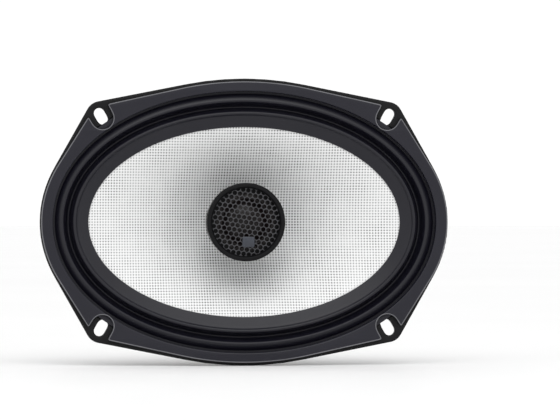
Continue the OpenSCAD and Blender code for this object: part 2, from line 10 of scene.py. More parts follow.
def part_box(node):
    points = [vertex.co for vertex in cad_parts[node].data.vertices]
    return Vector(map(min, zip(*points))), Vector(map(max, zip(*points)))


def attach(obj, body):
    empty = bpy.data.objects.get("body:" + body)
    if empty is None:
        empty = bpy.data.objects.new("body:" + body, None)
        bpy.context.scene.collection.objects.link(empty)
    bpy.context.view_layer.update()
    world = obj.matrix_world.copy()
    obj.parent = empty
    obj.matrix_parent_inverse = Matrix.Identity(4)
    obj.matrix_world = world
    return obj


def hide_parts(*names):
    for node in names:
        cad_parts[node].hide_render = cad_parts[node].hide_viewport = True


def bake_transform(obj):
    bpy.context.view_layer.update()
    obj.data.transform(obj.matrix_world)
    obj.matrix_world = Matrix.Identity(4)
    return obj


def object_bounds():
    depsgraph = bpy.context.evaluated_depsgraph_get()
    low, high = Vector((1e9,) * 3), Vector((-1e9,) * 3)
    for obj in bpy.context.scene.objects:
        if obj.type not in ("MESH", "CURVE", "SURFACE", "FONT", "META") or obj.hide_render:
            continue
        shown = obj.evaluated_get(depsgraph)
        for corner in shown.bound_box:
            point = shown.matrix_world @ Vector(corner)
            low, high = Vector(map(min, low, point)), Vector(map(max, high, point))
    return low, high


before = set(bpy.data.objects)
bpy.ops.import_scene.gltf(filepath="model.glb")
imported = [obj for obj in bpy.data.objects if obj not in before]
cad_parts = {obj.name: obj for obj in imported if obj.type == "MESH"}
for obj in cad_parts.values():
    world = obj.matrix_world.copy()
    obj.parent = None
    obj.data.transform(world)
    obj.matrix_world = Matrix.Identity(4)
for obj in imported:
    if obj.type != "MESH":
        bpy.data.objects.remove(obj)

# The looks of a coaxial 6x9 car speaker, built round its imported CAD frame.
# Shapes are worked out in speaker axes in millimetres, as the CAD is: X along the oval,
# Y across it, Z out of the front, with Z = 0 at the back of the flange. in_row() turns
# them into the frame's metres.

cad_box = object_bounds()
MM = 0.001
TAU = 2 * math.pi
FRAME_BODY = "frame"
CONE_BODY = "cone_assembly"
DOME_BODY = "tweeter_diaphragm"


def span(node):
    """The node's lowest and highest X, Y and Z in speaker axes, in millimetres."""
    lo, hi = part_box(node)
    return (lo.x / MM, hi.x / MM), (lo.z / MM, hi.z / MM), (-hi.y / MM, -lo.y / MM)


def low(node):
    return span(node)[2][0]


def high(node):
    return span(node)[2][1]


def half_width(node):
    return span(node)[0][1]


# Driving dimensions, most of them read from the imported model.
LIP_REACH = 23.9
CONE_A = half_width("surround") - LIP_REACH
CONE_B = span("surround")[1][1] - LIP_REACH
FLANGE_T = high("basket")
EAR_X, EAR_Y, SLOT_ANGLE = 83.1, 60.9, 60
TRIM_REACH, TRIM_END_REACH, TRIM_IN, TRIM_EAR_R = 25.7, 1.1, 20, 6
LIP_SEAT, LIP_T, SKIRT_REACH = 2.2, 0.8, 23.9
NOTCH_R, NOTCH_IN = 6.4, 1.4
RIM_Z, TUCK_SLOPE = 1.8, 0.38
NECK_R = half_width("voice_coil_former") + 0.25
CONE_FLARE = 1.25
COLLAR_H = 3.5
NECK_Z = low("cone") + COLLAR_H
SEAT_Z = NECK_Z - 6
YARN = 1.6
MAGNET_R = half_width("ferrite_magnet")
BACK_Z = low("yoke")
MAGNET_Z = low("ferrite_magnet")
TOP_PLATE_Z = low("top_plate")
TWEETER_R = half_width("tweeter_bezel")
TWEETER_FRONT = high("tweeter_bezel")
GRILLE_Z, GRILLE_TOP = low("tweeter_grille"), high("tweeter_grille")
TERMINAL_ANGLE = math.radians(214.5)
SPOKE_SLOPE = math.radians(58)

# ---------------------------------------------------------------- mesh tools


def in_row(points):
    p = np.asarray(points, float).reshape(-1, 3)
    return np.stack([p[:, 0], -p[:, 2], p[:, 1]], 1) * MM


def piece(name, verts, faces, look, body, nodes=(), sharp=40, close=True):
    """A mesh piece from points in speaker axes. It rides on body, unless that is None."""
    mesh = bpy.data.meshes.new(name)
    mesh.from_pydata(in_row(verts).tolist(), [], faces)
    if close:
        bm = bmesh.new()
        bm.from_mesh(mesh)
        bmesh.ops.remove_doubles(bm, verts=bm.verts, dist=1e-7)
        bmesh.ops.recalc_face_normals(bm, faces=bm.faces)
        bm.to_mesh(mesh)
        bm.free()
    obj = bpy.data.objects.new(name, mesh)
    bpy.context.scene.collection.objects.link(obj)
    return finish_piece(obj, look, body, nodes, sharp)


def finish_piece(obj, look, body, nodes, sharp):
    obj.data.materials.clear()
    obj.data.materials.append(look)
    smooth_shade(obj.data, sharp)
    if body:
        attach(obj, body)
    if nodes:
        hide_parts(*nodes)
    return obj


def smooth_shade(mesh, sharp):
    mesh.polygons.foreach_set("use_smooth", np.ones(len(mesh.polygons), bool))
    mesh.set_sharp_from_angle(angle=math.radians(sharp))
    mesh.update()


def apply_modifiers(obj):
    shaped = obj.evaluated_get(bpy.context.evaluated_depsgraph_get())
    mesh = bpy.data.meshes.new_from_object(shaped)
    obj.modifiers.clear()
    obj.data = mesh


def softened(node, width, look, body, segments=3):
    """A copy of a CAD node with its sharp edges rounded by width millimetres."""
    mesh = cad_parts[node].data.copy()
    if mesh.has_custom_normals:
        mesh.attributes.remove(mesh.attributes["custom_normal"])
    bm = bmesh.new()
    bm.from_mesh(mesh)
    bmesh.ops.remove_doubles(bm, verts=bm.verts, dist=1e-6)
    bmesh.ops.dissolve_limit(
        bm, angle_limit=math.radians(1), verts=bm.verts, edges=bm.edges)
    bm.to_mesh(mesh)
    bm.free()
    obj = bpy.data.objects.new(node + "_finished", mesh)
    bpy.context.scene.collection.objects.link(obj)
    bevel = obj.modifiers.new("round", "BEVEL")
    bevel.width = width * MM
    bevel.segments = segments
    bevel.limit_method = "ANGLE"
    bevel.angle_limit = math.radians(35)
    bevel.use_clamp_overlap = True
    apply_modifiers(obj)
    return finish_piece(obj, look, body, [node], 30)


def ring_faces(rings, points, wrap=True):
    """Quads between closed loops that follow each other, joined end to end if wrap is on."""
    faces = []
    for i in range(rings if wrap else rings - 1):
        for j in range(points):
            a, b = i * points + j, i * points + (j + 1) % points
            c, d = (i + 1) % rings * points + (j + 1) % points, (i + 1) % rings * points + j
            faces.append((a, b, c, d))
    return faces


def rounded(points, radius, steps=3):
    """A closed outline with its corners rounded as far as their sides allow."""
    n = len(points)
    out = []
    for i in range(n):
        p, a, b = (np.array(points[k % n], float) for k in (i, i - 1, i + 1))
        la, lb = np.linalg.norm(a - p), np.linalg.norm(b - p)
        ua, ub = (a - p) / la, (b - p) / lb
        half = math.acos(max(-1, min(1, float(ua @ ub)))) / 2
        r = radius[i] if hasattr(radius, "__len__") else radius
        if p[0] == 0 or r == 0 or half > 1.5:
            out.append(p)
            continue
        cut = min(r / math.tan(half), 0.45 * la, 0.45 * lb)
        for k in range(steps + 1):
            u = k / steps
            out.append((1 - u) ** 2 * (p + ua * cut) + 2 * u * (1 - u) * p + u * u * (p + ub * cut))
    return np.array(out)


def lathe(profile, sides=160):
    """Points and faces of a closed outline of (radius, z) turned about the axis."""
    profile = np.asarray(profile, float)
    t = np.arange(sides) * TAU / sides
    verts = np.stack([
        np.outer(np.cos(t), profile[:, 0]),
        np.outer(np.sin(t), profile[:, 0]),
        np.tile(profile[:, 1], (sides, 1)),
    ], -1).reshape(-1, 3)
    return verts, ring_faces(sides, len(profile))


def oval(t, reach):
    """Points reach outside the cone's elliptical edge, where the outward normal has angle t."""
    h = np.hypot(CONE_A * np.cos(t), CONE_B * np.sin(t))
    return np.stack([(CONE_A**2 / h + reach) * np.cos(t), (CONE_B**2 / h + reach) * np.sin(t)], -1)


def resampled(points, spacing):
    """A closed outline's points, evenly spaced along it."""
    p = np.vstack([points, points[:1]])
    along = np.concatenate([[0], np.cumsum(np.linalg.norm(np.diff(p, axis=0), axis=1))])
    n = int(along[-1] / spacing)
    s = np.arange(n) * along[-1] / n
    return np.stack([np.interp(s, along, p[:, 0]), np.interp(s, along, p[:, 1])], 1)


def eased(points, spacing, sigma):
    """A closed outline with every corner eased, as a moulded edge is."""
    p = resampled(points, spacing)
    reach = int(3 * sigma / spacing)
    k = np.exp(-0.5 * (np.arange(-reach, reach + 1) * spacing / sigma) ** 2)
    k /= k.sum()
    padded = np.vstack([p[-reach:], p, p[:reach]])
    return np.stack([np.convolve(padded[:, i], k, "valid") for i in (0, 1)], 1)


def inward(loop):
    """Unit normals to the left of a closed loop: inward on one that runs anticlockwise."""
    ahead = np.roll(loop, -1, 0) - np.roll(loop, 1, 0)
    ahead /= np.linalg.norm(ahead, axis=1)[:, None]
    return np.stack([-ahead[:, 1], ahead[:, 0]], 1)


def plate(outer, holes, bottom, top, edge, steps=3):
    """A flat plate with rounded edges. outer runs anticlockwise and holes clockwise."""
    arc = [edge * (1 - math.sin(math.pi / 2 * k / steps)) for k in range(steps + 1)]
    rise = [edge * (1 - math.cos(math.pi / 2 * k / steps)) for k in range(steps + 1)]
    levels = [(a, bottom + r) for a, r in zip(arc, rise)]
    levels += [(a, top - r) for a, r in reversed(list(zip(arc, rise)))]
    verts, faces, ends = [], [], []
    for loop in [outer, *holes]:
        loop = np.asarray(loop, float)
        normals = inward(loop)
        base, n = len(verts), len(loop)
        for inset, z in levels:
            verts.extend([x, y, z] for x, y in loop + normals * inset)
        faces += [tuple(base + k for k in f) for f in ring_faces(len(levels), n, wrap=False)]
        ends.append((base, n))
    for level in (0, len(levels) - 1):
        loops = [range(base + level * n, base + (level + 1) * n) for base, n in ends]
        flat = [k for loop in loops for k in loop]
        for tri in tessellate_polygon([[Vector(verts[k]) for k in loop] for loop in loops]):
            faces.append(tuple(flat[k] for k in tri))
    return np.array(verts), faces


def smooth_path(points, steps):
    """A Catmull-Rom line through the points."""
    p = np.asarray(points, float)
    n = len(p)
    out = []
    for i in range(n - 1):
        p0, p1, p2, p3 = p[max(i - 1, 0)], p[i], p[i + 1], p[min(i + 2, n - 1)]
        for k in range(steps):
            u = k / steps
            out.append(0.5 * (2 * p1 + (p2 - p0) * u + (2 * p0 - 5 * p1 + 4 * p2 - p3) * u * u
                              + (3 * p1 - p0 - 3 * p2 + p3) * u**3))
    return np.array(out + [p[-1]])


def cord(path, radius, sides=16, strands=0, turn=0.0):
    """Points and faces of a round cord. strands of them wind round it, turn radians a ring."""
    path = np.asarray(path, float)
    ahead = np.gradient(path, axis=0)
    ahead /= np.linalg.norm(ahead, axis=1)[:, None]
    side = np.cross(ahead[0], [0.31, 0.52, 0.79])
    verts = []
    t = np.arange(sides) * TAU / sides
    for i, (p, d) in enumerate(zip(path, ahead)):
        side = side - d * (side @ d)
        side /= np.linalg.norm(side)
        up = np.cross(d, side)
        r = radius * (1 - 0.16 * (0.5 + 0.5 * np.cos(strands * (t + turn * i)))) if strands else radius
        verts.append(p + np.outer(np.cos(t) * r, side) + np.outer(np.sin(t) * r, up))
    faces = ring_faces(len(path), sides, wrap=False)
    last = (len(path) - 1) * sides
    faces += [tuple(range(sides))[::-1], tuple(last + k for k in range(sides))]
    return np.vstack(verts), faces


def weigh(obj, share):
    """Bakes obj's place into its points and works out a share from 0 to 1 for each of them, which is not
    stored.
    """
    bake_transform(obj)
    co = np.zeros(len(obj.data.vertices) * 3)
    obj.data.vertices.foreach_get("co", co)
    w = np.clip(share(co.reshape(-1, 3) / MM), 0, 1)
    w = w * w * (3 - 2 * w)
    return obj


def on_spoke(points):
    """Points given on the back of the terminal spoke: X across it, Y up it, Z off it."""
    c, s = math.cos(SPOKE_SLOPE), math.sin(SPOKE_SLOPE)
    p = np.asarray(points, float).reshape(-1, 3)
    return turned(np.stack([
        SPOKE_MID_R + c * p[:, 1] + s * (p[:, 2] + SPOKE_T / 2),
        p[:, 0],
        SPOKE_MID_Z + s * p[:, 1] - c * (p[:, 2] + SPOKE_T / 2),
    ], 1))


def turned(points):
    """Points turned from the terminal spoke's direction into speaker axes."""
    c, s = math.cos(TERMINAL_ANGLE), math.sin(TERMINAL_ANGLE)
    p = np.asarray(points, float).reshape(-1, 3)
    return np.stack([p[:, 0] * c - p[:, 1] * s, p[:, 0] * s + p[:, 1] * c, p[:, 2]], 1)


# The terminal spoke's middle, from its bends as the CAD draws them.
SPOKE_T = 2
SPOKE_BEND_RIM, SPOKE_BEND_SEAT, SPOKE_RIM_R, SEAT_R = 10, 8, 80, 52
SPOKE_Z = -8.1
_run = SPOKE_RIM_R - SEAT_R - (SPOKE_BEND_RIM + SPOKE_BEND_SEAT) * math.sin(SPOKE_SLOPE)
SPOKE_MID_R = (SPOKE_RIM_R - SPOKE_BEND_RIM * math.sin(SPOKE_SLOPE)
               + SEAT_R + SPOKE_BEND_SEAT * math.sin(SPOKE_SLOPE)) / 2
SPOKE_MID_Z = (SPOKE_Z - SPOKE_BEND_RIM * (1 - math.cos(SPOKE_SLOPE))
               - _run * math.tan(SPOKE_SLOPE) / 2)

# ---------------------------------------------------------------- materials


class Look:
    """Builds one procedural material. Coordinates are the row frame's, in metres."""

    def __init__(self, name, **sockets):
        self.material = bpy.data.materials.new(name)
        self.material.use_nodes = True
        self.nodes = self.material.node_tree.nodes
        self.links = self.material.node_tree.links
        self.shader = self.nodes["Principled BSDF"]
        self.place = self.nodes.new("ShaderNodeTexCoord").outputs["Object"]
        for socket, value in sockets.items():
            self.shader.inputs[socket.replace("_", " ")].default_value = value

    def link(self, value, socket):
        if isinstance(value, bpy.types.NodeSocket):
            self.links.new(value, socket)
        else:
            socket.default_value = value

    def math(self, operation, *values):
        node = self.nodes.new("ShaderNodeMath")
        node.operation = operation
        for value, socket in zip(values, node.inputs):
            self.link(value, socket)
        return node.outputs[0]

    def noise(self, scale, detail=3, rough=0.55, at=None):
        node = self.nodes.new("ShaderNodeTexNoise")
        node.inputs["Scale"].default_value = scale
        node.inputs["Detail"].default_value = detail
        node.inputs["Roughness"].default_value = rough
        self.links.new(at or self.place, node.inputs["Vector"])
        return node.outputs["Fac"]

    def span(self, value, low, high, start=0.0, end=1.0):
        node = self.nodes.new("ShaderNodeMapRange")
        node.inputs["From Min"].default_value = start
        node.inputs["From Max"].default_value = end
        node.inputs["To Min"].default_value = low
        node.inputs["To Max"].default_value = high
        self.link(value, node.inputs["Value"])
        return node.outputs["Result"]

    def mix(self, factor, a, b):
        node = self.nodes.new("ShaderNodeMix")
        node.data_type = "RGBA"
        self.link(factor, node.inputs["Factor"])
        for value, socket in ((a, node.inputs[6]), (b, node.inputs[7])):
            if isinstance(value, tuple):
                value = (*value, 1)
            self.link(value, socket)
        return node.outputs[2]

    def axes(self):
        node = self.nodes.new("ShaderNodeSeparateXYZ")
        self.links.new(self.place, node.inputs[0])
        return node.outputs

    def vector(self, x, y, z):
        node = self.nodes.new("ShaderNodeCombineXYZ")
        for value, socket in zip((x, y, z), node.inputs):
            self.link(value, socket)
        return node.outputs[0]

    def radius(self):
        """Distance from the speaker's axis, in metres."""
        x, _, z = self.axes()
        return self.math("SQRT", self.math("ADD", self.math("MULTIPLY", x, x),
                                           self.math("MULTIPLY", z, z)))

    def bump(self, height, distance, strength=1.0):
        node = self.nodes.new("ShaderNodeBump")
        node.inputs["Strength"].default_value = strength
        node.inputs["Distance"].default_value = distance * MM
        self.links.new(height, node.inputs["Height"])
        self.links.new(node.outputs[0], self.shader.inputs["Normal"])

    def colour(self, value):
        self.links.new(value, self.shader.inputs["Base Color"])
        return self

    def roughness(self, value):
        self.links.new(value, self.shader.inputs["Roughness"])
        return self


def grained(name, dark, light, rough, patch, grain, depth, **sockets):
    """A material whose colour drifts in patches, with an even grain in its surface."""
    look = Look(name, **sockets)
    drift = look.noise(patch, 4)
    fine = look.noise(grain, 2)
    look.colour(look.mix(look.span(drift, 0, 1, 0.3, 0.7), dark, light))
    look.roughness(look.span(fine, rough[0], rough[1], 0.3, 0.7))
    look.bump(fine, depth)
    return look.material


def machined(name, dark, light, rough, **sockets):
    """Metal with fine turning marks round the speaker's axis."""
    look = Look(name, Metallic=1.0, **sockets)
    r = look.radius()
    marks = look.noise(2200, 2, at=look.vector(r, 0, 0))
    stain = look.noise(45, 4)
    look.colour(look.mix(look.span(stain, 0, 1, 0.3, 0.7), dark, light))
    look.roughness(look.span(marks, rough[0], rough[1], 0.3, 0.7))
    look.bump(marks, 0.02)
    return look.material


def woven(name, yarn, gap, thread, rough, depth, **sockets):
    """Cloth woven of square yarns, thread millimetres apart, seen along the axis."""
    look = Look(name, **sockets)
    x, _, z = look.axes()
    across = [look.math("MULTIPLY", v, 1 / (thread * MM)) for v in (x, z)]
    u, v = (look.math("PINGPONG", k, 0.5) for k in across)
    cover = look.math("MAXIMUM", u, v)
    look.colour(look.mix(look.span(cover, 0, 1, 0.02, 0.3), gap, yarn))
    look.roughness(look.span(look.noise(900, 2), rough[0], rough[1], 0.3, 0.7))
    checks = look.math("MULTIPLY", *(look.math("SINE", look.math("MULTIPLY", k, math.pi))
                                     for k in across))
    look.bump(look.math("ADD", look.math("ADD", u, v), look.math("MULTIPLY", checks, 0.4)), depth)
    return look.material


def cone_weave():
    """Glass-fibre cloth: white yarns with small grey pores, and painted shade that greys it and deepens
    its pores and seams towards the neck.
    """
    look = Look("cone_fibre", Specular_IOR_Level=0.5)
    x, _, z = look.axes()
    across = [look.math("MULTIPLY", v, 1 / (YARN * MM)) for v in (x, z)]
    u, v = (look.math("PINGPONG", k, 0.5) for k in across)
    # A pore sits where four yarns meet, and a fainter seam where two lie side by side.
    pore = look.span(look.math("MULTIPLY", look.span(u, 1, 0, 0, 0.30), look.span(v, 1, 0, 0, 0.30)),
                     0, 1, 0.01, 0.3)
    seam = look.span(look.math("MINIMUM", u, v), 1, 0, 0.0, 0.16)
    # near is painted shade: towards the neck, where the deep bowl round the tweeter is shaded, the yarns
    # are greyed and the seams and pores darkened.
    near = look.span(look.radius(), 1, 0, 0.018, 0.050)
    patch = look.span(look.noise(70, 3), 0.55, 1.25, 0.3, 0.7)
    depth = look.math("MULTIPLY", look.span(near, 0.7, 1), patch)
    yarn_tone = look.noise(1, 2, at=look.vector(
        look.math("FLOOR", across[0]), 0, look.math("FLOOR", across[1])))
    white = look.mix(look.span(yarn_tone, 0, 1, 0.35, 0.65), (0.64, 0.645, 0.65), (0.90, 0.90, 0.895))
    white = look.mix(look.math("MULTIPLY", seam, look.span(near, 0.35, 0.9)), white, (0.42, 0.43, 0.44))
    white = look.mix(look.math("MULTIPLY", near, 0.06), white, (0.40, 0.41, 0.42))
    look.colour(look.mix(look.math("MULTIPLY", pore, depth), white, (0.03, 0.03, 0.033)))
    strands = look.noise(1, 2, at=look.vector(look.math("MULTIPLY", x, 5200), 0,
                                              look.math("MULTIPLY", z, 5200)))
    look.roughness(look.span(strands, 0.30, 0.5, 0.3, 0.7))
    look.bump(strands, 0.03)
    return look.material


def coat():
    """Powder coat: charcoal with a fine grain, and the same coat painted near black on the flange's
    front as painted shade.
    """
    look = Look("basket_coat", Specular_IOR_Level=0.22)
    _, y, _ = look.axes()
    # front masks the flange's front face, which is painted near black: painted shade on the same
    # charcoal coat.
    front = look.span(y, 1, 0, -4.6 * MM, -3.2 * MM)
    charcoal = look.mix(look.span(look.noise(60), 0, 1, 0.3, 0.7),
                        (0.034, 0.034, 0.038), (0.052, 0.052, 0.058))
    look.colour(look.mix(front, charcoal, (0.0016, 0.0016, 0.0022)))
    grain = look.noise(1500)
    look.roughness(look.span(grain, 0.46, 0.62, 0.3, 0.7))
    look.bump(grain, 0.09)
    return look.material


def turned_wire(name, dark, light, pitch, rough, **sockets):
    """Wound wire: bands along the speaker's axis, pitch millimetres apart."""
    look = Look(name, **sockets)
    _, y, _ = look.axes()
    band = look.math("PINGPONG", look.math("MULTIPLY", y, 1 / (pitch * MM)), 0.5)
    look.colour(look.mix(look.span(band, 0, 1, 0, 0.3), dark, light))
    look.roughness(look.span(look.noise(800), rough[0], rough[1], 0.3, 0.7))
    look.bump(band, 0.08)
    return look.material


for packed in bpy.data.materials:
    packed.name = "packed_" + packed.name

LOOKS = {m.name: m for m in (
    coat(),
    grained("trim_plastic", (0.0034, 0.0032, 0.0090), (0.0048, 0.0045, 0.0110), (0.32, 0.40),
            50, 2600, 0.010, Specular_IOR_Level=0.38),
    # Light grey for the bead round the ring's outer edge: a painted highlight, not the ring's own
    # colour.
    grained("painted_edge_highlight", (0.090, 0.090, 0.100), (0.130, 0.130, 0.140), (0.26, 0.34), 50, 2600, 0.006),
    grained("surround_rubber", (0.0036, 0.0034, 0.0080), (0.0058, 0.0055, 0.0100), (0.36, 0.46),
            40, 1900, 0.012, Specular_IOR_Level=0.35),
    cone_weave(),
    grained("former_film", (0.050, 0.042, 0.034), (0.080, 0.068, 0.056), (0.22, 0.34), 120, 900, 0.01,
            Coat_Weight=0.3),
    turned_wire("copper_wire", (0.25, 0.07, 0.02), (0.72, 0.30, 0.13), 0.32, (0.2, 0.35),
                Metallic=1.0),
    woven("spider_cloth", (0.50, 0.33, 0.12), (0.20, 0.11, 0.03), 0.7, (0.6, 0.8), 0.12),
    machined("plated_steel", (0.42, 0.43, 0.45), (0.56, 0.57, 0.58), (0.24, 0.42)),
    grained("ferrite", (0.016, 0.016, 0.018), (0.035, 0.035, 0.038), (0.42, 0.62), 90, 2400, 0.03),
    grained("terminal_brass", (0.60, 0.40, 0.13), (0.78, 0.57, 0.24), (0.22, 0.4), 200, 2200, 0.01,
            Metallic=1.0),
    grained("terminal_tin", (0.52, 0.52, 0.50), (0.70, 0.70, 0.67), (0.24, 0.42), 200, 2200, 0.01,
            Metallic=1.0),
    grained("terminal_board", (0.010, 0.010, 0.010), (0.022, 0.021, 0.020), (0.5, 0.7),
            400, 1800, 0.03),
    grained("rivet_steel", (0.45, 0.45, 0.46), (0.62, 0.62, 0.62), (0.22, 0.38), 150, 1800, 0.012,
            Metallic=1.0),
    grained("lead_braid", (0.42, 0.17, 0.07), (0.72, 0.36, 0.18), (0.3, 0.46), 900, 3600, 0.05,
            Metallic=1.0),
    grained("capacitor_sleeve", (0.012, 0.028, 0.14), (0.020, 0.045, 0.20), (0.2, 0.32),
            90, 1300, 0.01, Coat_Weight=0.25),
    grained("red_insulation", (0.30, 0.012, 0.010), (0.40, 0.022, 0.016), (0.3, 0.42),
            160, 1600, 0.01),
    grained("black_insulation", (0.009, 0.009, 0.009), (0.016, 0.016, 0.016), (0.3, 0.42),
            160, 1600, 0.01),
    grained("tweeter_plastic", (0.0020, 0.0020, 0.0026), (0.0035, 0.0035, 0.0042), (0.34, 0.44),
            90, 2600, 0.012, Specular_IOR_Level=0.14),
    grained("neodymium", (0.55, 0.55, 0.56), (0.68, 0.68, 0.69), (0.1, 0.2), 120, 900, 0.006,
            Metallic=1.0),
    grained("dome_silk", (0.0035, 0.0022, 0.0024), (0.0070, 0.0040, 0.0042), (0.30, 0.42),
            150, 5200, 0.03, Specular_IOR_Level=0.1, Coat_Weight=0.3, Coat_Roughness=0.12),
    grained("grille_paint", (0.024, 0.024, 0.028), (0.042, 0.042, 0.048), (0.30, 0.40),
            150, 3000, 0.012),
    grained("badge_metal", (0.018, 0.021, 0.030), (0.030, 0.035, 0.048), (0.26, 0.36),
            200, 3000, 0.006),
)}

# ---------------------------------------------------------------- camera and light

AZIMUTH, ELEVATION = math.radians(-5.5), math.radians(0.1)
DISTANCE = 2.2
VIEW_WIDTH = 0.3228         # what the image's width covers at the flange
SHIFT = (0.0625, 0.0216)    # the object stands left of and below the middle


def camera():
    data = bpy.data.cameras.new("camera")
    cam = bpy.data.objects.new("camera", data)
    bpy.context.scene.collection.objects.link(cam)
    back = Vector((math.sin(AZIMUTH) * math.cos(ELEVATION),
                   -math.cos(AZIMUTH) * math.cos(ELEVATION), math.sin(ELEVATION)))
    target = Vector((0, -FLANGE_T * MM, 0))
    cam.location = target + back * DISTANCE
    cam.rotation_mode = "QUATERNION"
    cam.rotation_quaternion = (-back).to_track_quat("-Z", "Y")
    data.lens = data.sensor_width * DISTANCE / VIEW_WIDTH
    data.shift_x, data.shift_y = SHIFT
    data.clip_start, data.clip_end = 0.01, 50
    bpy.context.scene.camera = cam


def panel_light(name, place, aim, width, height, power):
    data = bpy.data.lights.new(name, "AREA")
    data.shape = "RECTANGLE"
    data.size, data.size_y = width, height
    data.energy = power
    lamp = bpy.data.objects.new(name, data)
    bpy.context.scene.collection.objects.link(lamp)
    lamp.location = place
    lamp.rotation_mode = "QUATERNION"
    lamp.rotation_quaternion = (Vector(aim) - Vector(place)).to_track_quat("-Z", "Y")


def studio():
    scene = bpy.context.scene
    scene.view_settings.view_transform = "Standard"
    world = bpy.data.worlds.new("studio")
    scene.world = world
    world.use_nodes = True
    nodes, links = world.node_tree.nodes, world.node_tree.links
    background = nodes["Background"]
    background.inputs["Color"].default_value = (1, 1, 1, 1)
    # The backdrop is white, and what the room sends back is dimmer.
    seen = nodes.new("ShaderNodeLightPath").outputs["Is Camera Ray"]
    strength = nodes.new("ShaderNodeMapRange")
    strength.inputs["To Min"].default_value = 0.86
    strength.inputs["To Max"].default_value = 1.05
    links.new(seen, strength.inputs["Value"])
    links.new(strength.outputs[0], background.inputs["Strength"])

    sun = bpy.data.lights.new("overhead", "SUN")
    sun.energy = 1.1
    sun.angle = math.radians(44)
    lamp = bpy.data.objects.new("overhead", sun)
    scene.collection.objects.link(lamp)
    lamp.rotation_euler = (math.radians(46), 0, 0)
    panel_light("left_panel", (-1.1, -1.0, 0.5), (0, 0, 0), 0.9, 1.1, 2.0)
    panel_light("right_panel", (1.1, -1.0, 0.5), (0, 0, 0), 0.9, 1.1, 2.0)

    z = cad_box[0].z
    reach = 30
    mesh = bpy.data.meshes.new("floor")
    mesh.from_pydata([(x, y, z) for x, y in ((-reach, -reach), (reach, -reach),
                                             (reach, reach), (-reach, reach))], [], [(0, 1, 2, 3)])
    floor = bpy.data.objects.new("floor", mesh)
    scene.collection.objects.link(floor)
    mesh.materials.append(grained("studio_floor", (0.90, 0.90, 0.90), (0.92, 0.92, 0.92),
                                  (0.55, 0.65), 2, 30, 0.0))


camera()
studio()

# ---------------------------------------------------------------- basket


def basket():
    """The coated basket: the CAD node with its edges and corners eased as a coat leaves them."""
    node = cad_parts["basket"]
    node.data.materials.clear()
    node.data.materials.append(LOOKS["basket_coat"])
    remesh = node.modifiers.new("skin", "REMESH")
    remesh.mode = "VOXEL"
    remesh.voxel_size = 0.7 * MM
    remesh.use_smooth_shade = True
    ease = node.modifiers.new("ease", "SMOOTH")
    ease.factor = 0.5
    ease.iterations = 4


# ---------------------------------------------------------------- front ring and surround


def convex_outline(points):
    """The convex outline round a set of points, anticlockwise."""
    p = sorted(map(tuple, points))

    def side(ps):
        out = []
        for q in ps:
            while len(out) > 1 and ((out[-1][0] - out[-2][0]) * (q[1] - out[-2][1])
                                    <= (out[-1][1] - out[-2][1]) * (q[0] - out[-2][0])):
                out.pop()
            out.append(q)
        return out[:-1]

    return np.array(side(p) + side(p[::-1]))


def ears():
    """Centre and outward direction of each screw slot."""
    for sx, sy in ((1, 1), (-1, 1), (-1, -1), (1, -1)):
        a = math.radians(SLOT_ANGLE)
        yield np.array([sx * EAR_X, sy * EAR_Y]), np.array([sx * math.cos(a), sy * math.sin(a)])


def trim_outline():
    t = np.linspace(0, TAU, 720, endpoint=False)
    circle = np.stack([np.cos(t), np.sin(t)], 1)
    reach = TRIM_REACH + TRIM_END_REACH * np.cos(t) ** 2
    points = [oval(t, reach)] + [c + TRIM_EAR_R * circle for c, _ in ears()]
    line = resampled(convex_outline(np.vstack(points)), 0.3)
    bend = np.linspace(-math.pi / 2, -3 * math.pi / 2, 40)
    for centre, out in ears():
        left = np.array([-out[1], out[0]])
        p = line - (centre - NOTCH_IN * out)
        gone = (abs(p @ left) < NOTCH_R) & (p @ out > 0)
        first = np.flatnonzero(gone & ~np.roll(gone, 1))[0]
        line = np.roll(line, -first, 0)
        kept = line[gone.sum():]
        u = NOTCH_R * np.cos(bend)[:, None] * out + NOTCH_R * np.sin(bend)[:, None] * left
        line = np.vstack([kept, u + centre - NOTCH_IN * out])
    return eased(line, 0.3, 1.05)


def trim_ring():
    """The ring, the skirt that clamps the surround's lip, and a light grey bead round its outer edge
    that is a painted highlight.
    """
    t = np.linspace(0, -TAU, 480, endpoint=False)
    top, outline = high("trim_ring"), trim_outline()
    verts, faces = plate(outline, [oval(t, TRIM_IN)], FLANGE_T, top, 0.7, 4)
    hole = [oval(t, TRIM_IN + 0.05)]
    more, skirt = plate(oval(t, SKIRT_REACH), hole, LIP_SEAT + LIP_T, FLANGE_T, 0.15, 2)
    faces = list(faces) + [[k + len(verts) for k in face] for face in skirt]
    verts = np.vstack([verts, more])
    piece("trim_ring_finished", verts, faces, LOOKS["trim_plastic"], FRAME_BODY, ["trim_ring"])

    # The bead carries the painted highlight along the ring's outer edge.
    bead_r, bead_drop, bead_in = 0.34, 0.24, 0.44
    loop = np.asarray(outline, float)
    normals = inward(loop)
    rows = []
    for a in np.arange(10) * TAU / 10:
        height = top - bead_drop + bead_r * math.sin(a)
        at = loop + normals * (bead_in - bead_r * math.cos(a))
        rows.append(np.column_stack([at, np.full(len(loop), height)]))
    piece("trim_highlight_strip", np.vstack(rows), ring_faces(len(rows), len(loop)),
          LOOKS["painted_edge_highlight"], FRAME_BODY)


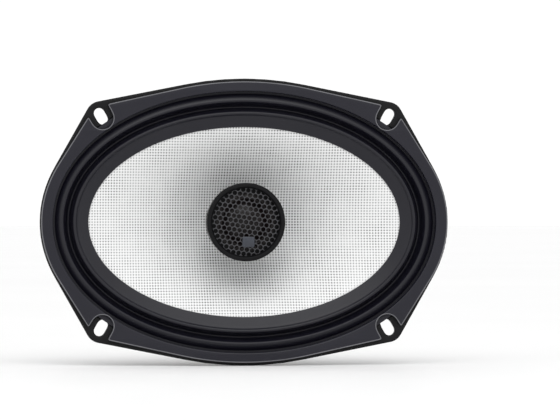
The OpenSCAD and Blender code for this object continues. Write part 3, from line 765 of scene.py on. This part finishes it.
def surround():
    """Rubber surround: a flat glue band, a low crest, the roll's groove, a second crest and the
    lip under the ring. Its line gives the reach beyond the cone's edge and the height."""
    half = LIP_T / 2
    line = smooth_path([
        [-0.5, 2.2], [0.6, 2.6], [3.2, 3.5], [6, 4.5], [6.9, 5.4], [7.5, 5.6], [8.1, 5.2],
        [8.7, 3.6], [9.4, 1.2], [10.4, -0.4], [11.6, -0.4], [12.6, 1], [13.4, 3.2],
        [14, 5], [14.7, 5.6], [15.9, 5.1], [17.2, 4.1], [18.3, 3], [19.2, LIP_SEAT + half],
        [LIP_REACH, LIP_SEAT + half]], 4)
    ahead = np.gradient(line, axis=0)
    ahead /= np.linalg.norm(ahead, axis=1)[:, None]
    away = np.stack([-ahead[:, 1], ahead[:, 0]], 1)
    outline = rounded(np.vstack([line + half * away, (line - half * away)[::-1]]), 0.3, 2)
    sides = 320
    t = np.arange(sides) * TAU / sides
    rows = [np.column_stack([oval(t, d), np.full(sides, z)]) for d, z in outline]
    verts = np.vstack(rows)
    obj = piece("surround_roll", verts, ring_faces(len(rows), sides),
                LOOKS["surround_rubber"], None, ["surround"])

    def share(p):
        reach = oval_reach(p[:, 0], p[:, 2])
        return (16 - reach) / 9

    weigh(obj, share)


def oval_reach(x, y):
    """How far points lie outside the cone's elliptical edge."""
    t = np.arctan2(np.abs(y) * CONE_A, np.abs(x) * CONE_B)
    for _ in range(30):
        h = np.hypot(CONE_A * np.cos(t), CONE_B * np.sin(t))
        ex, ey = CONE_A**2 / h * np.cos(t), CONE_B**2 / h * np.sin(t)
        t = t + 0.5 * (np.arctan2(np.abs(y) - ey + h * np.sin(t),
                                  np.abs(x) - ex + h * np.cos(t)) - t)
    h = np.hypot(CONE_A * np.cos(t), CONE_B * np.sin(t))
    return (np.abs(x) - CONE_A**2 / h * np.cos(t)) * np.cos(t) + (
        np.abs(y) - CONE_B**2 / h * np.sin(t)) * np.sin(t)


# ---------------------------------------------------------------- cone


def cone_place(x, y):
    """Where points lie on the cone: share of the way from neck to edge, and the way's length."""
    x, y = np.abs(x), np.abs(y)
    lo, hi = np.zeros_like(x), np.full_like(x, math.pi / 2)
    for _ in range(40):
        t = (lo + hi) / 2
        h = np.hypot(CONE_A * np.cos(t), CONE_B * np.sin(t))
        nx, ny = NECK_R * np.cos(t), NECK_R * np.sin(t)
        dx, dy = CONE_A**2 / h * np.cos(t) - nx, CONE_B**2 / h * np.sin(t) - ny
        left = (dx * (y - ny) - dy * (x - nx)) > 0
        lo, hi = np.where(left, t, lo), np.where(left, hi, t)
    length = np.hypot(dx, dy)
    return ((x - nx) * dx + (y - ny) * dy) / length**2, length


def cone_height(x, y):
    s, length = cone_place(x, y)
    rise = 1 - np.clip(1 - s, 0, None) ** CONE_FLARE
    return NECK_Z + (RIM_Z - NECK_Z) * rise + TUCK_SLOPE * length * np.clip(s - 1, 0, None)


def weave_height(x, y):
    """Height of plain-woven yarns above the cloth's middle, in yarn pitches along X and Y."""
    u, v = x / YARN, y / YARN
    wave, thick = 0.28, 0.18
    warp_up = np.where(np.floor(u) % 2 == 0, 1, -1) * np.sin(math.pi * v)
    weft_up = -np.where(np.floor(v) % 2 == 0, 1, -1) * np.sin(math.pi * u)
    body = [np.sqrt(np.clip(1 - (2 * (k - np.floor(k)) - 1) ** 2, 0, 1)) for k in (u, v)]
    return np.maximum(wave * warp_up + thick * body[0], wave * weft_up + thick * body[1])


def cone():
    """The woven cone: yarns along X and Y as real relief, the collar and the back."""
    phases = np.array([0, 0.3, 0.7])
    cover = 2.0             # how far the cloth runs under the surround
    count = [int((edge + cover) / YARN) + 2 for edge in (CONE_A, CONE_B)]
    xs, ys = ((np.arange(-n, n)[:, None] + phases).ravel() * YARN for n in count)
    gx, gy = np.meshgrid(xs, ys, indexing="ij")
    s, length = cone_place(gx, gy)
    inside = np.hypot(gx, gy) > NECK_R
    keep = inside & ((s - 1) * length < cover)
    cell = keep[:-1, :-1] | keep[1:, :-1] | keep[:-1, 1:] | keep[1:, 1:]
    cell &= ~(~inside[:-1, :-1] & ~inside[1:, 1:])
    # Points of a cell that pass the neck are drawn back to its circle.
    r = np.hypot(gx, gy)
    pull = np.where(inside, 1, NECK_R / np.maximum(r, 1e-6))
    px, py = gx * pull, gy * pull
    height = cone_height(px, py)
    step = 0.2
    slope_x = (cone_height(px + step, py) - height) / step
    slope_y = (cone_height(px, py + step) - height) / step
    steep = np.sqrt(1 + slope_x**2 + slope_y**2)
    relief = np.where(inside, weave_height(gx, gy), 0)
    half = 0.28
    sheets = []
    for side in (1, -1):
        off = side * half + relief
        sheets.append(np.stack([px - slope_x / steep * off, py - slope_y / steep * off,
                                height - 0.4 + off / steep], -1))
    used = np.zeros(gx.shape, bool)
    for a in (slice(None, -1), slice(1, None)):
        for b in (slice(None, -1), slice(1, None)):
            used[a, b] |= cell
    index = np.full(gx.shape, -1)
    index[used] = np.arange(used.sum())
    total = int(used.sum())
    i, j = np.nonzero(cell)
    quads = np.stack([index[i, j], index[i + 1, j], index[i + 1, j + 1], index[i, j + 1]], 1)
    faces = quads.tolist() + (quads[:, ::-1] + total).tolist()
    edges = {}
    for q in quads.tolist():
        for a, b in zip(q, q[1:] + q[:1]):
            if (b, a) in edges:
                del edges[b, a]
            else:
                edges[a, b] = True
    faces += [(b, a, a + total, b + total) for a, b in edges]
    verts = np.vstack([sheets[0][used], sheets[1][used]])
    piece("cone_cloth", verts, faces, LOOKS["cone_fibre"], CONE_BODY, ["cone"], sharp=75, close=False)
    collar = [[NECK_R, NECK_Z - COLLAR_H], [NECK_R, NECK_Z + 0.5], [NECK_R + 1.2, NECK_Z + 1.2],
              [NECK_R + 1.5, NECK_Z + 0.4], [NECK_R + 0.7, NECK_Z - 0.6],
              [NECK_R + 0.7, NECK_Z - COLLAR_H]]
    verts, faces = lathe(rounded(collar, 0.25), 120)
    piece("cone_collar", verts, faces, LOOKS["cone_fibre"], CONE_BODY)


def voice_coil():
    inner, outer = half_width("voice_coil_former") - 0.3, half_width("voice_coil_former")
    z0, z1 = low("voice_coil_former"), high("voice_coil_former")
    verts, faces = lathe([[inner, z0], [outer, z0], [outer, z1], [inner, z1]])
    piece("former_tube", verts, faces, LOOKS["former_film"], CONE_BODY, ["voice_coil_former"])
    z0, z1 = low("voice_coil_winding"), high("voice_coil_winding")
    r = half_width("voice_coil_winding")
    turns = 38
    pitch = (z1 - z0) / turns
    outline = [[outer + 0.02, z1], [outer + 0.02, z0]]
    for k in range(turns):
        for share, rise in ((0.05, -0.14), (0.5, 0), (0.95, -0.14)):
            outline.append([r + rise, z0 + (k + share) * pitch])
    verts, faces = lathe(outline, 120)
    piece("winding_turns", verts, faces, LOOKS["copper_wire"], CONE_BODY, ["voice_coil_winding"])
    softened("voice_coil_tags", 0.2, LOOKS["terminal_tin"], CONE_BODY)


# ---------------------------------------------------------------- spider


def spider():
    """Corrugated cloth with a flat outer edge that is glued to the seat."""
    inner = half_width("voice_coil_former") + 0.3
    outer, flat, pitch, wave, half = half_width("spider"), 45.6, 5.2, 1.5, 0.3
    r = np.linspace(inner, flat, 150)
    k = (r - inner) / (flat - inner)
    fade = np.minimum(1, 6 * np.minimum(k, 1 - k))
    z = SEAT_Z + half + wave * np.sin(TAU * (flat - r) / pitch) * fade
    top = np.column_stack([np.append(r, outer), np.append(z, SEAT_Z + half)])
    top[:, 1] += half
    under = top - [0, 2 * half]
    verts, faces = lathe(np.vstack([top, under[::-1]]))
    obj = piece("spider_cloth_ring", verts, faces, LOOKS["spider_cloth"], None, ["spider"], sharp=60)
    weigh(obj, lambda p: (flat - np.hypot(p[:, 0], p[:, 2])) / (flat - 21))


# ---------------------------------------------------------------- motor


def motor():
    r = half_width("top_plate")
    gap = 20.4
    z0, z1 = TOP_PLATE_Z, high("top_plate")
    verts, faces = lathe(rounded([[gap, z0], [r, z0], [r, z1], [gap, z1]], 0.8))
    piece("top_plate_ring", verts, faces, LOOKS["plated_steel"], FRAME_BODY, ["top_plate"])

    z0, z1 = MAGNET_Z, high("ferrite_magnet")
    verts, faces = lathe(rounded([[23.5, z0], [MAGNET_R, z0], [MAGNET_R, z1], [23.5, z1]], 1.3, 4))
    piece("ferrite_ring", verts, faces, LOOKS["ferrite"], FRAME_BODY, ["ferrite_magnet"])

    r, hole, pole, front = half_width("yoke"), 5, 18.6, high("yoke")
    dish = 0.5
    outline = [[hole, BACK_Z], [24, BACK_Z], [25, BACK_Z + dish], [31, BACK_Z + dish],
               [32, BACK_Z], [r, BACK_Z], [r, MAGNET_Z], [pole, MAGNET_Z], [pole, front],
               [hole, front]]
    verts, faces = lathe(rounded(outline, [1.5, 0.4, 0.4, 0.4, 0.4, 1.2, 0.5, 0.5, 0.8, 0.8]))
    yoke = piece("yoke_body", verts, faces, LOOKS["plated_steel"], None, ["yoke"])
    groove = turned([[x, y, z] for x in (0, r + 2) for y in (-2.5, 2.5)
                     for z in (BACK_Z - 1, BACK_Z + 2.6)])
    carve(yoke, groove)
    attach(yoke, FRAME_BODY)
    softened("motor_screws", 0.3, LOOKS["rivet_steel"], FRAME_BODY)


def carve(obj, corners):
    """Cuts the convex block round the corners out of obj."""
    mesh = bpy.data.meshes.new("cutter")
    mesh.from_pydata(in_row(corners).tolist(), [], [])
    bm = bmesh.new()
    bm.from_mesh(mesh)
    bmesh.ops.convex_hull(bm, input=bm.verts)
    bmesh.ops.recalc_face_normals(bm, faces=bm.faces)
    bm.to_mesh(mesh)
    bm.free()
    cutter = bpy.data.objects.new("cutter", mesh)
    bpy.context.scene.collection.objects.link(cutter)
    cut = obj.modifiers.new("cut", "BOOLEAN")
    cut.operation = "DIFFERENCE"
    cut.object = cutter
    cut.solver = "EXACT"
    apply_modifiers(obj)
    bpy.data.objects.remove(cutter)
    smooth_shade(obj.data, 40)


# ---------------------------------------------------------------- terminals and wiring

BLOCK_Y, BLOCK_T, BLADE_T, LUG_X = 3, 3, 0.8, 20.2
CAPACITOR_R, CAPACITOR_L, CAPACITOR_Y, PIN_L = 4, 16, -9.5, 3


def terminals():
    softened("terminal_block", 0.5, LOOKS["terminal_board"], FRAME_BODY)
    softened("terminal_positive", 0.14, LOOKS["terminal_brass"], FRAME_BODY, segments=2)
    softened("terminal_negative", 0.14, LOOKS["terminal_tin"], FRAME_BODY, segments=2)
    head = [[0, -SPOKE_T - 1.1], [1.4, -SPOKE_T - 1], [2.5, -SPOKE_T - 0.5], [2.8, -SPOKE_T],
            [1.5, -SPOKE_T], [1.5, BLOCK_T], [2.8, BLOCK_T], [2.5, BLOCK_T + 0.7],
            [1.4, BLOCK_T + 1.1], [0.9, BLOCK_T + 1.1], [0.8, BLOCK_T + 0.2], [0, BLOCK_T + 0.2]]
    for side, name in ((-1, "left"), (1, "right")):
        verts, faces = lathe(rounded(head, 0.3, 2), 40)
        verts[:, 0] += side * 4.5
        verts[:, 1] += BLOCK_Y
        piece("rivet_" + name, on_spoke(verts), faces, LOOKS["rivet_steel"], FRAME_BODY,
              ["terminal_rivets"])


def capacitor_frame(points):
    """Points given along the capacitor's own axis, Z, in speaker axes."""
    centre = spoke_point(0, CAPACITOR_Y, CAPACITOR_R + 0.2)
    p = np.asarray(points, float)
    return turned(np.stack([centre[0] + p[:, 0], centre[1] - p[:, 2], centre[2] + p[:, 1]], 1))


def capacitor():
    half, r = CAPACITOR_L / 2, CAPACITOR_R
    outline = [[0, -half - PIN_L], [0.45, -half - PIN_L], [0.45, -half + 0.3], [3, -half + 0.3],
               [3.2, -half], [r - 0.3, -half], [r, -half + 0.8], [r, half - 3.4], [r - 0.45, half - 2.9],
               [r - 0.45, half - 2.3], [r, half - 1.8], [r, half - 0.6], [r - 0.3, half], [2.4, half],
               [2.2, half - 0.5], [0.45, half - 0.5], [0.45, half + PIN_L], [0, half + PIN_L]]
    verts, faces = lathe(rounded(outline, 0.3, 2), 64)
    piece("capacitor_can", capacitor_frame(verts), faces, LOOKS["capacitor_sleeve"], FRAME_BODY,
          ["tweeter_capacitor"])


def spoke_point(x, y, z):
    """A point on the back of the terminal spoke, before it is turned into speaker axes."""
    c, s = math.cos(SPOKE_SLOPE), math.sin(SPOKE_SLOPE)
    return np.array([SPOKE_MID_R + c * y + s * (z + SPOKE_T / 2), x,
                     SPOKE_MID_Z + s * y - c * (z + SPOKE_T / 2)])


def tinsel_leads():
    """Braided leads from the terminals' lugs to the tags on the collar, on the CAD's route."""
    turn = math.radians(22)
    for side, name in ((1, "positive"), (-1, "negative")):
        route = [
            spoke_point(side * LUG_X, BLOCK_Y, BLOCK_T - 0.15),
            spoke_point(side * LUG_X, BLOCK_Y - 1, -1),
            [60, side * 18.4, SEAT_Z + 9.5],
            [50, side * 16, SEAT_Z + 6.6],
            [38, side * 12.8, SEAT_Z + 5.4],
            [28, side * 10, SEAT_Z + 4.8],
            [22.1 * math.cos(turn), side * 22.1 * math.sin(turn), NECK_Z - COLLAR_H + 1],
        ]
        path = turned(smooth_path(route, 30))
        verts, faces = cord(path, 0.62, 18, strands=6, turn=0.16)
        obj = piece("tinsel_braid_" + name, verts, faces, LOOKS["lead_braid"], None,
                    ["tinsel_lead_" + name], sharp=70)
        near, far = 24, 62
        weigh(obj,
              lambda p: (far - np.hypot(p[:, 0], p[:, 2])) / (far - near))


def wires():
    """Insulated wires: link to the capacitor, and the pair to the tweeter, on the CAD's routes."""
    end = spoke_point(0, CAPACITOR_Y, CAPACITOR_R + 0.2)
    pin = np.array([0, CAPACITOR_L / 2 + PIN_L, 0])
    lug = [spoke_point(LUG_X, BLOCK_Y, BLOCK_T + BLADE_T + 0.1),
           spoke_point(LUG_X, BLOCK_Y - 0.6, BLOCK_T + 3)]
    link = lug + [spoke_point(LUG_X - 0.8, BLOCK_Y - 5.5, BLOCK_T + 3),
                  end + pin + [0.5, 4, 1], end + pin + [0, 0.1, 0]]
    start = {
        "positive": [end - pin + [0, -0.2, -0.6], end - pin + [-0.6, 1, -3.6],
                     [60, -6.5, SEAT_Z - 6.5], [54, -2.4, SEAT_Z - 11.5],
                     [49, 0.2, SEAT_Z - 17]],
        "negative": [spoke_point(-LUG_X, BLOCK_Y, BLOCK_T + BLADE_T + 0.1),
                     spoke_point(-LUG_X, BLOCK_Y - 0.6, BLOCK_T + 3),
                     [73, -19.6, SEAT_Z + 8], [70.5, -17, SEAT_Z + 2], [65, -12.5, SEAT_Z - 4],
                     [58, -7.2, SEAT_Z - 9.5], [51.5, -3.2, SEAT_Z - 14.5]],
    }
    tube("capacitor_link_wire", link, "red_insulation", "capacitor_link")
    beside, groove, plate_r = MAGNET_R + 1.6, BACK_Z + 1.4, half_width("yoke")
    for side, name, look in ((1, "positive", "red_insulation"), (-1, "negative", "black_insulation")):
        y, turn = side * 0.9, side * 1.2
        route = start[name] + [
            [beside, y, TOP_PLATE_Z - 8], [beside, y, MAGNET_Z + 1], [beside - 0.6, y, MAGNET_Z - 2.6],
            [plate_r + 1.5, y, groove + 0.6], [plate_r - 2.5, y, groove], [25, y, groove],
            [10, y, groove], [turn + 2.8, y, groove + 0.9], [turn + 0.4, y, groove + 4],
            [turn, y, groove + 9], [turn, y, -50], [turn, y, -30], [turn, y, -12],
            [side * 1.5, y, -7], [side * 2.2, y, -5.2], [side * 4, y, -3.9],
            [side * 9, y, -3.5], [side * 15.2, y, -3.3], [side * 17.4, y, -1.4],
            [side * 17.6, y, 1.4], [side * 17.6, y, low("tweeter_dome_frame") - 0.2],
        ]
        tube("tweeter_lead_" + name, route, look, "tweeter_wire_" + name)


def tube(name, route, look, node):
    verts, faces = cord(turned(smooth_path(route, 8)), 0.7, 16)
    piece(name, verts, faces, LOOKS[look], FRAME_BODY, [node])


# ---------------------------------------------------------------- tweeter


def tweeter_body():
    softened("tweeter_post", 0.6, LOOKS["tweeter_plastic"], FRAME_BODY)
    softened("post_washer", 0.2, LOOKS["rivet_steel"], FRAME_BODY)
    z0, z1 = low("tweeter_housing"), high("tweeter_housing")
    r = half_width("tweeter_housing")
    seat = low("tweeter_dome_frame")
    outline = [[4.2, z0], [r - 3, z0], [r - 0.2, z0 + 3], [r, z0 + 4], [r, z1], [19.8, z1], [19.8, seat],
               [18.8, seat], [18.8, z0 + 2], [4.2, z0 + 2]]
    verts, faces = lathe(rounded(outline, [0.4, 2, 1, 0.5, 0.2, 0.2, 0, 0, 0.5, 0.4]))
    piece("tweeter_cup", verts, faces, LOOKS["tweeter_plastic"], FRAME_BODY, ["tweeter_housing"])
    for node, look in (("tweeter_yoke", "plated_steel"), ("tweeter_magnet", "neodymium"),
                       ("tweeter_pole_piece", "plated_steel"),
                       ("tweeter_dome_frame", "tweeter_plastic"),
                       ("tweeter_coil_former", "former_film"),
                       ("tweeter_coil_winding", "copper_wire")):
        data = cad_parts[node].data
        data.materials.clear()
        data.materials.append(LOOKS[look])


def tweeter_dome():
    r, z0, z1 = half_width("tweeter_dome"), low("tweeter_dome"), high("tweeter_dome")
    rise = z1 - z0
    ball = (r * r + rise * rise) / (2 * rise)
    a = np.linspace(0, math.asin(r / ball), 24)
    thick = 0.35
    top = np.column_stack([ball * np.sin(a), z1 - ball + ball * np.cos(a)])
    under = np.column_stack([(ball - thick) * np.sin(a), z1 - ball + (ball - thick) * np.cos(a)])
    verts, faces = lathe(np.vstack([top, under[::-1]]), 96)
    piece("dome_cap", verts, faces, LOOKS["dome_silk"], DOME_BODY, ["tweeter_dome"])
    inner, seat, lip = r - 0.1, 15.0, half_width("tweeter_dome_surround")
    base, lip_z = z0, high("tweeter_dome_frame")
    k = np.linspace(0, 1, 14)
    roll = np.column_stack([inner + (seat - inner) * k,
                            base + (lip_z - base) * k + 0.9 * np.sin(math.pi * k)])
    line = np.vstack([roll, [[lip, lip_z]]])
    verts, faces = lathe(np.vstack([line + [0, 0.3], line[::-1]]), 96)
    obj = piece("dome_roll", verts, faces, LOOKS["dome_silk"], None, ["tweeter_dome_surround"])
    weigh(obj,
          lambda p: (seat - np.hypot(p[:, 0], p[:, 2])) / (seat - inner))


def tweeter_front():
    inner, seat = 19.5, 20.1
    z0 = low("tweeter_bezel")
    outline = [[seat, z0], [TWEETER_R, z0], [TWEETER_R, TWEETER_FRONT], [inner + 1.0, TWEETER_FRONT],
               [inner, GRILLE_TOP + 0.5], [inner, GRILLE_TOP], [seat, GRILLE_TOP]]
    verts, faces = lathe(rounded(outline, [0.1, 0.2, 1.4, 0.5, 0.3, 0, 0], 6), 192)
    piece("bezel_ring", verts, faces, LOOKS["tweeter_plastic"], FRAME_BODY, ["tweeter_bezel"])

    pitch, hole_r, turn, clear, rim = 3.0, 1.33, math.radians(-9), 19.8, 19.6
    r = half_width("tweeter_grille")
    t = np.linspace(0, TAU, 120, endpoint=False)
    a = np.linspace(0, -TAU, 18, endpoint=False)
    hole = np.stack([np.cos(a), np.sin(a)], 1)
    holes = []                  # those at the rim are cut short, under the bezel
    for i in range(-8, 9):
        for j in range(-8, 9):
            x, y = pitch * (i + j / 2), pitch * j * math.sqrt(3) / 2
            if math.hypot(x, y) < clear:
                at = np.array([x * math.cos(turn) - y * math.sin(turn),
                               x * math.sin(turn) + y * math.cos(turn)])
                ring = at + hole_r * hole
                holes.append(ring * np.minimum(1, rim / np.hypot(*ring.T))[:, None])
    disc = r * np.stack([np.cos(t), np.sin(t)], 1)
    verts, faces = plate(disc, holes, GRILLE_Z, GRILLE_TOP, 0.12, 2)
    crown = 0.5
    verts[:, 2] += crown * (1 - (verts[:, 0] ** 2 + verts[:, 1] ** 2) / r**2)
    piece("grille_mesh", verts, faces, LOOKS["grille_paint"], FRAME_BODY, ["tweeter_grille"])

    (x0, x1), (y0, y1), (z0, z1) = span("tweeter_badge")
    corners = rounded([[x0, y0], [x1, y0], [x1, y1], [x0, y1]], 1.2, 6)
    verts, faces = plate(corners, [], z0, z1, 0.3, 3)
    piece("blank_badge", verts, faces, LOOKS["badge_metal"], FRAME_BODY, ["tweeter_badge"])


basket()
trim_ring()
surround()
cone()
voice_coil()
spider()
motor()
terminals()
capacitor()
tinsel_leads()
wires()
tweeter_body()
tweeter_dome()
tweeter_front()
